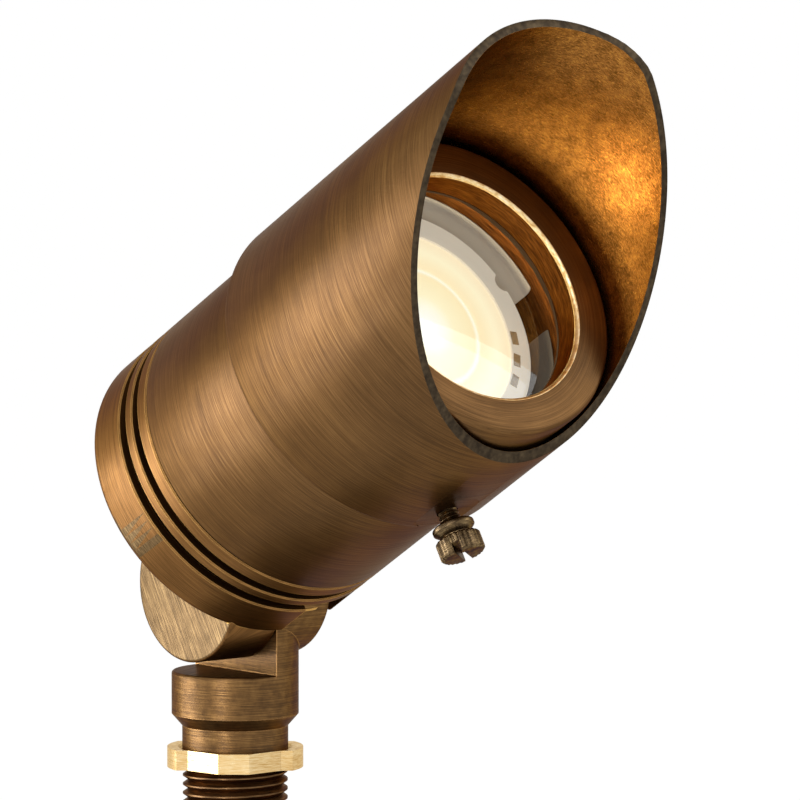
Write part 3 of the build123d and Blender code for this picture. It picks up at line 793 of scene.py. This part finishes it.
# clear, with faint reflections, and no dark shadow behind it
clear_glass, glass_shader = blank("tempered_glass_clear")
glass_shader.inputs["Base Color"].default_value = linear("#f7faf8")
glass_shader.inputs["Roughness"].default_value = 0.02
glass_shader.inputs["Transmission Weight"].default_value = 1.0
glass_shader.inputs["IOR"].default_value = 1.5
glass_shader.inputs["Specular IOR Level"].default_value = 0.12
glass_paths = node(clear_glass, "ShaderNodeLightPath")
lets_light = node(
    clear_glass,
    "ShaderNodeMath",
    links={0: glass_paths.outputs["Is Shadow Ray"], 1: glass_paths.outputs["Is Diffuse Ray"]},
    operation="MAXIMUM",
)
clear = node(clear_glass, "ShaderNodeBsdfTransparent", {"Color": linear("#f4f8f5")})
glass_mix = node(
    clear_glass,
    "ShaderNodeMixShader",
    links={0: lets_light.outputs[0], 1: glass_shader.outputs["BSDF"], 2: clear.outputs["BSDF"]},
)
glass_end = clear_glass.node_tree.nodes["Material Output"]
clear_glass.node_tree.links.new(glass_mix.outputs["Shader"], glass_end.inputs["Surface"])

# the lit lens: near white in the middle, then faint warm rings
optic_glow, glow_shader = blank("polycarbonate_optic_frosted_lit")
glow_mm = local(optic_glow, head)
from_axis = node(
    optic_glow,
    "ShaderNodeVectorMath",
    {1: (1, 1, 0)},
    {0: glow_mm},
    operation="MULTIPLY",
)
distance = node(
    optic_glow, "ShaderNodeVectorMath", links={0: from_axis.outputs[0]}, operation="LENGTH"
)
share = node(
    optic_glow,
    "ShaderNodeMath",
    {1: optic_radius},
    {0: distance.outputs["Value"]},
    operation="DIVIDE",
)
glow = node(
    optic_glow,
    "ShaderNodeValToRGB",
    links={"Fac": share.outputs[0]},
    stops=(
        (0.0, "#ffffff"),
        (0.22, "#fffbe6"),
        (0.34, "#fff3cc"),
        (0.58, "#fdeabd"),
        (0.62, "#fffbe8"),
        (0.66, "#fbe6ba"),
        (0.84, "#fff2ce"),
        (0.97, "#fbe7c2"),
    ),
)
optic_glow.node_tree.links.new(glow.outputs["Color"], glow_shader.inputs["Emission Color"])
glow_shader.inputs["Base Color"].default_value = linear("#5c5850")
glow_shader.inputs["Emission Strength"].default_value = 1.12
glow_shader.inputs["Roughness"].default_value = 0.3

# ================= Barrel =================

barrel = turned(
    "barrel_dressed",
    [
        (barrel_bore, barrel_rear),
        (barrel_radius, barrel_rear),
        (barrel_radius, o_ring_low),
        (o_ring_floor, o_ring_low),
        (o_ring_floor, o_ring_high),
        (barrel_radius, o_ring_high),
        (barrel_radius, bezel_station - bezel_round),
        (barrel_radius - bezel_round_middle, bezel_station - bezel_round_middle),
        (barrel_radius - bezel_round, bezel_station),
        (bezel_bore + bezel_chamfer, bezel_station),
        (bezel_bore, bezel_station - bezel_chamfer),
        (bezel_bore, lip_station),
        (barrel_bore, lip_station),
        (barrel_bore, glass_station),
        (retainer_floor, glass_station),
        (retainer_floor, retainer_station),
        (barrel_bore, retainer_station),
        (barrel_bore, barrel_rear),
    ],
)
place(barrel, head)
wear(barrel, barrel_edge_width)
smooth(barrel)
barrel_finishes = (head_brass, worn_edge_and_glint_brass, bore_painted_shade, bright_lip)
bright_lip_radius = bezel_bore + bezel_chamfer + bright_lip_reach
add_piece(barrel, "barrel", barrel_finishes, ("barrel",))
for face in barrel.data.polygons:
    radius, station = in_head(face.center)
    # the bore takes painted shade
    if radius < barrel_bore + near and station < bezel_station - bezel_chamfer - near:
        face.material_index = barrel_finishes.index(bore_painted_shade)
    # the bezel's mouth: bared brass with a painted highlight
    elif radius < bright_lip_radius and station > bezel_station - inside:
        face.material_index = barrel_finishes.index(bright_lip)

# ================= Hood =================

clock = math.radians(hood_clocking)
slope = math.tan(math.radians(hood_cut_angle))
hood_up = Vector((math.sin(clock), math.cos(clock), 0))
square = Vector((0, 0, 1))
slant = (square - hood_up * slope).normalized()
corner_height = (shroud_front - hood_cut_station) / slope
corner = hood_up * corner_height + square * shroud_front
blend_centre = corner - (slant + square) * hood_cut_blend / (1 + slant.dot(square))

hood = turned(
    "hood",
    [
        (shroud_bore, shroud_front + inside),
        (shroud_bore, shroud_rear),
        (shroud_radius - shroud_rear_round, shroud_rear),
        (shroud_radius - shroud_round_middle, shroud_rear + shroud_round_middle),
        (shroud_radius, shroud_rear + shroud_rear_round),
        (shroud_radius, shroud_front + inside),
    ],
    closed=False,
)
open_mesh(hood)
for step in range(hood_blend_steps + 1):
    facing = slant.lerp(square, step / hood_blend_steps).normalized()
    bpy.ops.mesh.select_all(action="SELECT")
    bpy.ops.mesh.bisect(
        plane_co=(blend_centre + facing * hood_cut_blend) * MM, plane_no=facing, clear_outer=True
    )
bpy.ops.mesh.select_all(action="DESELECT")
bpy.ops.mesh.select_mode(type="EDGE")
bpy.ops.mesh.select_non_manifold(
    use_wire=False, use_multi_face=False, use_non_contiguous=False, use_verts=False
)
bpy.ops.mesh.bridge_edge_loops()
bpy.ops.mesh.select_mode(type="VERT")
close_surface()
spot_cutter = start(
    "spot_cutter",
    bpy.ops.mesh.primitive_cylinder_add,
    vertices=screw_facets,
    radius=screw_spot_radius * MM,
    depth=2 * inside * MM,
    location=(0, -(screw_spot + inside) * MM, screw_station * MM),
    rotation=(math.radians(90), 0, 0),
)
cut(hood, spot_cutter)
screw_hole = start(
    "screw_hole",
    bpy.ops.mesh.primitive_cylinder_add,
    vertices=hole_facets,
    radius=(screw_crest + screw_hole_gap) * MM,
    depth=screw_hole_depth * MM,
    location=(0, -shroud_radius * MM, screw_station * MM),
    rotation=(math.radians(90), 0, 0),
)
cut(hood, screw_hole)
place(hood, head)
wear(hood, hood_edge_width)
smooth(hood)
hood_finishes = (head_brass, worn_edge_and_glint_brass, inside_brass, hood_edge)
add_piece(hood, "hood", hood_finishes, ("shroud",))
for face in hood.data.polygons:
    radius, station = in_head(face.center)
    if face.material_index == hood_finishes.index(worn_edge_and_glint_brass):
        continue
    if radius < shroud_bore + near:
        face.material_index = hood_finishes.index(inside_brass)
    elif radius < shroud_radius - near and station > screw_station + screw_spot_radius + inside:
        face.material_index = hood_finishes.index(hood_edge)

# ================= Rear housing =================

housing = copy_of("rear_housing_dressed", "rear_housing")
smooth(housing, housing_smooth_angle)
housing_finishes = (housing_brass, groove_patina, ear_brass)
add_piece(housing, "head", housing_finishes, ("rear_housing",))
for face in housing.data.polygons:
    radius, station = in_head(face.center)
    in_groove = any(low - near < station < high + near for low, high in grooves)
    if in_groove and groove_floor - 2 * near < radius < barrel_radius - groove_mouth:
        face.material_index = housing_finishes.index(groove_patina)
    elif abs(face.normal.x) > flat_of_ear and (face.center - pivot).yz.length < ear_radius * MM:
        face.material_index = housing_finishes.index(ear_brass)

# ================= Thumbscrew =================

shank = turned(
    "thumbscrew_dressed",
    [
        (screw_root, screw_tip),
        (screw_root, collar_start),
        (collar_radius - collar_break, collar_start),
        (collar_radius, collar_start + collar_break),
        (collar_radius, collar_start + collar_height / 2),
        (collar_neck_radius, collar_start + collar_height),
        (collar_neck_radius, head_start + overlap),
    ],
    steps=screw_facets,
)
screw_thread = thread(
    "screw_thread",
    screw_crest,
    screw_root,
    screw_tip,
    collar_start + overlap,
    screw_pitch,
    hole_facets,
)
knurl_root = screw_head_radius - head_break
screw_head = start(
    "screw_head",
    bpy.ops.mesh.primitive_circle_add,
    vertices=corners_per_knurl * knurls,
    radius=knurl_root * MM,
    location=(0, 0, head_start * MM),
)
open_part(
    screw_head, "VERT", lambda vertex: vertex.index % corners_per_knurl >= corners_per_knurl / 2
)
inwards = 1 - knurl_depth / screw_head_radius
bpy.ops.transform.resize(value=(inwards, inwards, 1), center_override=(0, 0, head_start * MM))
bpy.ops.mesh.select_all(action="SELECT")
side_height = head_end - head_start - head_break - head_chamfer
for rise, spread in (
    (head_break, screw_head_radius / knurl_root),
    (side_height, 1.0),
    (head_chamfer, head_top_share),
):
    bpy.ops.mesh.extrude_region_move(TRANSFORM_OT_translate={"value": (0, 0, rise * MM)})
    bpy.ops.transform.resize(value=(spread, spread, 1), center_override=(0, 0, head_end * MM))
bpy.ops.mesh.select_all(action="SELECT")
bpy.ops.mesh.fill_holes(sides=0)
close_surface()
slot_cutter = start(
    "slot_cutter",
    bpy.ops.mesh.primitive_cube_add,
    size=MM,
    scale=(slot_cutter_length, slot_width, 2 * slot_depth),
    location=(0, 0, head_end * MM),
    rotation=(0, 0, math.radians(slot_angle)),
)
cut(screw_head, slot_cutter)
wear(screw_head, knurl_edge_width)
wear(shank, collar_edge_width)
join(shank, screw_thread, screw_head)
place(shank, screw)
smooth(shank)
add_piece(shank, "screw", (screw_brass, worn_edge_and_glint_brass), ("thumbscrew",))

# ================= Stem and lock nut =================


def on_ring_thread(face):
    """Whether a face is part of the stem's thread, outside its bore and under its shoulder."""
    x, y, z = face.center / MM
    return z < thread_high - near / 2 and math.hypot(x, y) > stem_bore_radius + inside


# The stem's ridges give way to a true thread, wound in one turn after another.
stem = copy_of("knuckle_stem_dressed", "knuckle_stem")
open_part(stem, "FACE", on_ring_thread)
bpy.ops.mesh.delete(type="FACE")
bpy.ops.mesh.select_mode(type="VERT")
close_mesh()
smooth(stem)
add_piece(stem, "stem", (cast_brass,), ("knuckle_stem",))
stem_thread = thread(
    "stem_thread",
    thread_crest_radius,
    thread_root_radius,
    thread_low,
    thread_high,
    thread_pitch,
    small_facets,
)
smooth(stem_thread)
add_piece(stem_thread, "stem", (thread_brass,))

nut = copy_of("lock_nut_dressed", "lock_nut")
wear(nut, nut_edge_width, sharper_than=nut_edge_angle, finish=0)
smooth(nut, nut_edge_angle)
add_piece(nut, "nut", (bare_brass,), ("lock_nut",))

# ================= Ground spike =================

spike = copy_of("ground_spike_dressed", "ground_spike")
wear(spike, spike_edge_width, finish=0)
smooth(spike)
add_piece(spike, "spike", (spike_plastic,), ("ground_spike",))

# ================= Lamp =================

lamp_rim = turned(
    "lamp_rim_dressed",
    [
        (optic_radius + optic_seat_gap, lamp_rim_rear),
        (lamp_radius, lamp_rim_rear),
        (lamp_radius, lamp_front - lamp_round),
        (lamp_radius - lamp_round_middle, lamp_front - lamp_round_middle),
        (lamp_radius - lamp_round, lamp_front),
        (optic_radius + optic_seat_gap, lamp_front),
        (optic_radius + optic_seat_gap, lamp_rim_rear),
    ],
    steps=fine_facets,
)
for angle in window_angles:
    turn = math.radians(angle)
    window = start(
        "window",
        bpy.ops.mesh.primitive_cube_add,
        size=MM,
        scale=(window_width, window_depth, window_height),
        location=(
            window_radius * math.sin(turn) * MM,
            window_radius * math.cos(turn) * MM,
            lamp_front * MM,
        ),
        rotation=(0, 0, -turn),
    )
    cut(lamp_rim, window)
turn = math.radians(notch_angle)
notch = start(
    "notch",
    bpy.ops.mesh.primitive_cylinder_add,
    vertices=hole_facets,
    radius=notch_radius * MM,
    depth=notch_height * MM,
    location=(
        lamp_radius * math.sin(turn) * MM,
        lamp_radius * math.cos(turn) * MM,
        lamp_front * MM,
    ),
)
cut(lamp_rim, notch)
place(lamp_rim, head)
wear(lamp_rim, lamp_edge_width, finish=0)
smooth(lamp_rim)
rim_finishes = (lit_white, window_shade)
add_piece(lamp_rim, "lamp", rim_finishes, ("lamp_rim",))
for face in lamp_rim.data.polygons:
    radius, station = in_head(face.center)
    in_ring = optic_radius + window_margin < radius < window_radius + window_depth
    if in_ring and lamp_rim_rear + window_floor < station < lamp_front - window_margin:
        face.material_index = rim_finishes.index(window_shade)

optic_front = lamp_front - optic_recess
optic = turned(
    "lamp_optic_dressed",
    [
        (optic_eye, optic_rear),
        (optic_radius, optic_rear),
        (optic_radius, optic_front),
        *((radius, optic_front + rise) for radius, rise in optic_crown),
        (optic_eye, optic_front + optic_rise),
    ],
    steps=small_facets,
)
place(optic, head)
smooth(optic)
add_piece(optic, "lamp", (optic_glow,), ("lamp_optic",))

# ================= Labels =================

for number, (low, high) in enumerate(label_spans):
    label = start(
        f"inner_label_{number + 1}",
        bpy.ops.mesh.primitive_grid_add,
        x_subdivisions=label_steps,
        y_subdivisions=1,
        size=MM,
    )
    length = math.radians(high - low) * label_radius
    label.scale = (length, label_front - label_rear, 1)
    hold(label)
    bpy.ops.object.transform_apply()
    half = (length / 2 - near) * MM
    open_part(label, "VERT", lambda vertex: abs(vertex.co.x) > half and vertex.co.y > 0)
    bpy.ops.mesh.bevel(
        offset=label_corner * MM, segments=label_corner_steps, affect="VERTICES"
    )
    close_mesh()
    middle = (low + high) / 2
    for vertex in label.data.vertices:
        turn = math.radians(middle) + vertex.co.x / MM / label_radius
        station = (label_rear + label_front) / 2 + vertex.co.y / MM
        vertex.co = (
            label_radius * math.sin(turn) * MM,
            label_radius * math.cos(turn) * MM,
            station * MM,
        )
    thicken = label.modifiers.new("thicken", "SOLIDIFY")
    thicken.thickness = label_thickness * MM
    thicken.offset = 0
    apply(label, thicken)
    place(label, head)
    smooth(label)
    # the second label takes its grey with painted shade
    label_finish = (label_vinyl, label_grey_in_painted_shade)[number]
    add_piece(label, "barrel", (label_finish,), ("inner_labels",))

# ================= CAD nodes that keep their shape =================

kept = {
    "knuckle_bolt": steel,
    "bolt_washer": steel,
    "spring_washer": steel,
    # the ring behind the glass, in painted shade
    "lens_retaining_ring": ring_painted_shade,
    "socket_bracket": steel,
    "socket_screws": steel,
    "knuckle_seal": rubber,
    "barrel_seal": rubber,
    "lens_gasket": seal_dusty,
    "shroud_o_ring": rubber,
    "lead_seal": rubber,
    "lens_glass": clear_glass,
    "lamp_body": lamp_white,
    "lamp_base": lamp_white,
    "led_board": board,
    "lamp_pins": plated,
    "socket_contacts": plated,
    "socket_body": ceramic,
    "socket_leads": sleeve,
}
for name, finish in kept.items():
    for slot_of_node in nodes[name].material_slots:
        slot_of_node.material = finish

# ================= Floor, light and camera =================


def seen_by_eye(tree):
    """1 for what the camera sees directly, in a reflection or through glass, and otherwise 0."""
    paths = node(tree, "ShaderNodeLightPath")
    seen = node(
        tree,
        "ShaderNodeMath",
        links={0: paths.outputs["Is Camera Ray"], 1: paths.outputs["Is Glossy Ray"]},
        operation="MAXIMUM",
    )
    through = node(
        tree,
        "ShaderNodeMath",
        links={0: seen.outputs[0], 1: paths.outputs["Is Transmission Ray"]},
        operation="MAXIMUM",
    )
    return through.outputs[0]


floor_size = 60
floor_whitened = 0.8  # the rest of the floor's look is its own shade and shadow
floor_glow = 1.14
sky_range = {"To Min": 0.45, "To Max": 1.0}  # light given, and white shown
lamp_light = "#ffe4b8"
bulb_size = 36.0
bulb_ahead = 0.7  # of the lamp's front
bulb_power = 0.045
spill_angle = math.radians(64)  # from the top towards +X
spill_station = 112.0
spill_spread = 50.0
spill_source = 8.0
spill_ahead = 5.0  # of the glass
spill_power = 0.037

floor = start(
    "floor", bpy.ops.mesh.primitive_plane_add, size=floor_size, location=(0, 0, cad_box[0][2])
)
# a pale floor that shows white and keeps the soft shadow
floor_paint, floor_shader = blank("floor_matt_white")
floor_shader.inputs["Base Color"].default_value = linear("#f2f1ef")
floor_shader.inputs["Roughness"].default_value = 0.9
shown = node(
    floor_paint,
    "ShaderNodeMath",
    {1: floor_whitened},
    {0: seen_by_eye(floor_paint)},
    operation="MULTIPLY",
)
white = node(floor_paint, "ShaderNodeEmission", {"Color": (1, 1, 1, 1), "Strength": floor_glow})
mixed = node(
    floor_paint,
    "ShaderNodeMixShader",
    links={0: shown.outputs[0], 1: floor_shader.outputs["BSDF"], 2: white.outputs["Emission"]},
)
floor_end = floor_paint.node_tree.nodes["Material Output"]
floor_paint.node_tree.links.new(mixed.outputs["Shader"], floor_end.inputs["Surface"])
floor.data.materials.append(floor_paint)

world = bpy.data.worlds.new("studio")
bpy.context.scene.world = world
world.use_nodes = True
sky = world.node_tree.nodes["Background"]
sky.inputs["Color"].default_value = (1, 1, 1, 1)
level = node(world, "ShaderNodeMapRange", sky_range, {"Value": seen_by_eye(world)})
world.node_tree.links.new(level.outputs["Result"], sky.inputs["Strength"])


def hang(light, place_at, aim):
    """Hangs a light where the camera doesn't see it, facing along its aim."""
    holder = bpy.data.objects.new(light.name, light)
    bpy.context.scene.collection.objects.link(holder)
    holder.location = place_at
    holder.rotation_mode = "QUATERNION"
    holder.rotation_quaternion = aim.to_track_quat("-Z", "Y")
    holder.visible_camera = False
    return holder


def softbox(name, place_at, aim_at, wide, high, power, colour="#ffffff"):
    """A soft studio light, in metres and watts."""
    lamp = bpy.data.lights.new(name, "AREA")
    lamp.shape = "RECTANGLE"
    lamp.size = wide
    lamp.size_y = high
    lamp.energy = power
    lamp.color = linear(colour)[:3]
    hang(lamp, place_at, Vector(aim_at) - Vector(place_at))


head_middle = rim_centre + lamp_direction * head_middle_station * MM
softbox("side_strip", (-0.78, 0.76, -0.01), head_middle, 0.66, 0.44, 7.6, "#eef3ff")
softbox("low_strip", (-0.43, 0.27, -0.14), head_middle, 0.4, 0.12, 0.6, "#eef3ff")
softbox("left_box", (-1.08, -0.52, 0.1), pivot, 0.24, 0.6, 4.0)
softbox("front_key", (-1.1, -0.9, 1.3), head_middle, 0.9, 0.9, 9)
softbox("right_fill", (1.2, -0.8, 0.9), head_middle, 1.0, 1.0, 5)

bulb = bpy.data.lights.new("bulb", "AREA")
bulb.shape = "DISK"
bulb.size = bulb_size * MM
bulb.energy = bulb_power
bulb.color = linear(lamp_light)[:3]
bulb_place = head @ Vector((0, 0, (lamp_front + bulb_ahead) * MM))
hang(bulb, bulb_place, lamp_direction).visible_transmission = False

# the warm patch that the lamp throws on the hood's inside
spill = bpy.data.lights.new("beam_spill", "SPOT")
spill.spot_size = math.radians(spill_spread)
spill.spot_blend = 1.0
spill.shadow_soft_size = spill_source * MM
spill.energy = spill_power
spill.color = linear(lamp_light)[:3]
spill_place = head @ Vector((0, 0, (glass_station + spill_ahead) * MM))
spill_across = math.sin(spill_angle) * shroud_bore
spill_up = math.cos(spill_angle) * shroud_bore
spill_end = head @ (Vector((spill_across, spill_up, spill_station)) * MM)
hang(spill, spill_place, spill_end - spill_place).visible_transmission = False

camera_distance = 1387.21
camera_azimuth = 39.567
camera_height = 219.07
camera_yaw = 1.357
camera_pitch = 5.133
camera_roll = 0.0545
camera_lens = 315.0
camera_sensor = 36.0
camera_reach = 100  # metres
camera_data = bpy.data.cameras.new("camera")
camera_data.lens = camera_lens
camera_data.sensor_width = camera_sensor
camera_data.clip_end = camera_reach
camera = bpy.data.objects.new("camera", camera_data)
bpy.context.scene.collection.objects.link(camera)
bpy.context.scene.camera = camera
azimuth = math.radians(camera_azimuth)
heading = math.radians(camera_azimuth + camera_yaw)
pitch = math.radians(camera_pitch)
camera.location = (
    -camera_distance * math.sin(azimuth) * MM,
    -camera_distance * math.cos(azimuth) * MM,
    camera_height * MM,
)
looking = Vector(
    (
        math.sin(heading) * math.cos(pitch),
        math.cos(heading) * math.cos(pitch),
        -math.sin(pitch),
    )
)
camera.rotation_mode = "QUATERNION"
camera.rotation_quaternion = looking.to_track_quat("-Z", "Y") @ Matrix.Rotation(
    math.radians(camera_roll), 4, "Z"
).to_quaternion()

bpy.context.scene.view_settings.view_transform = "Standard"
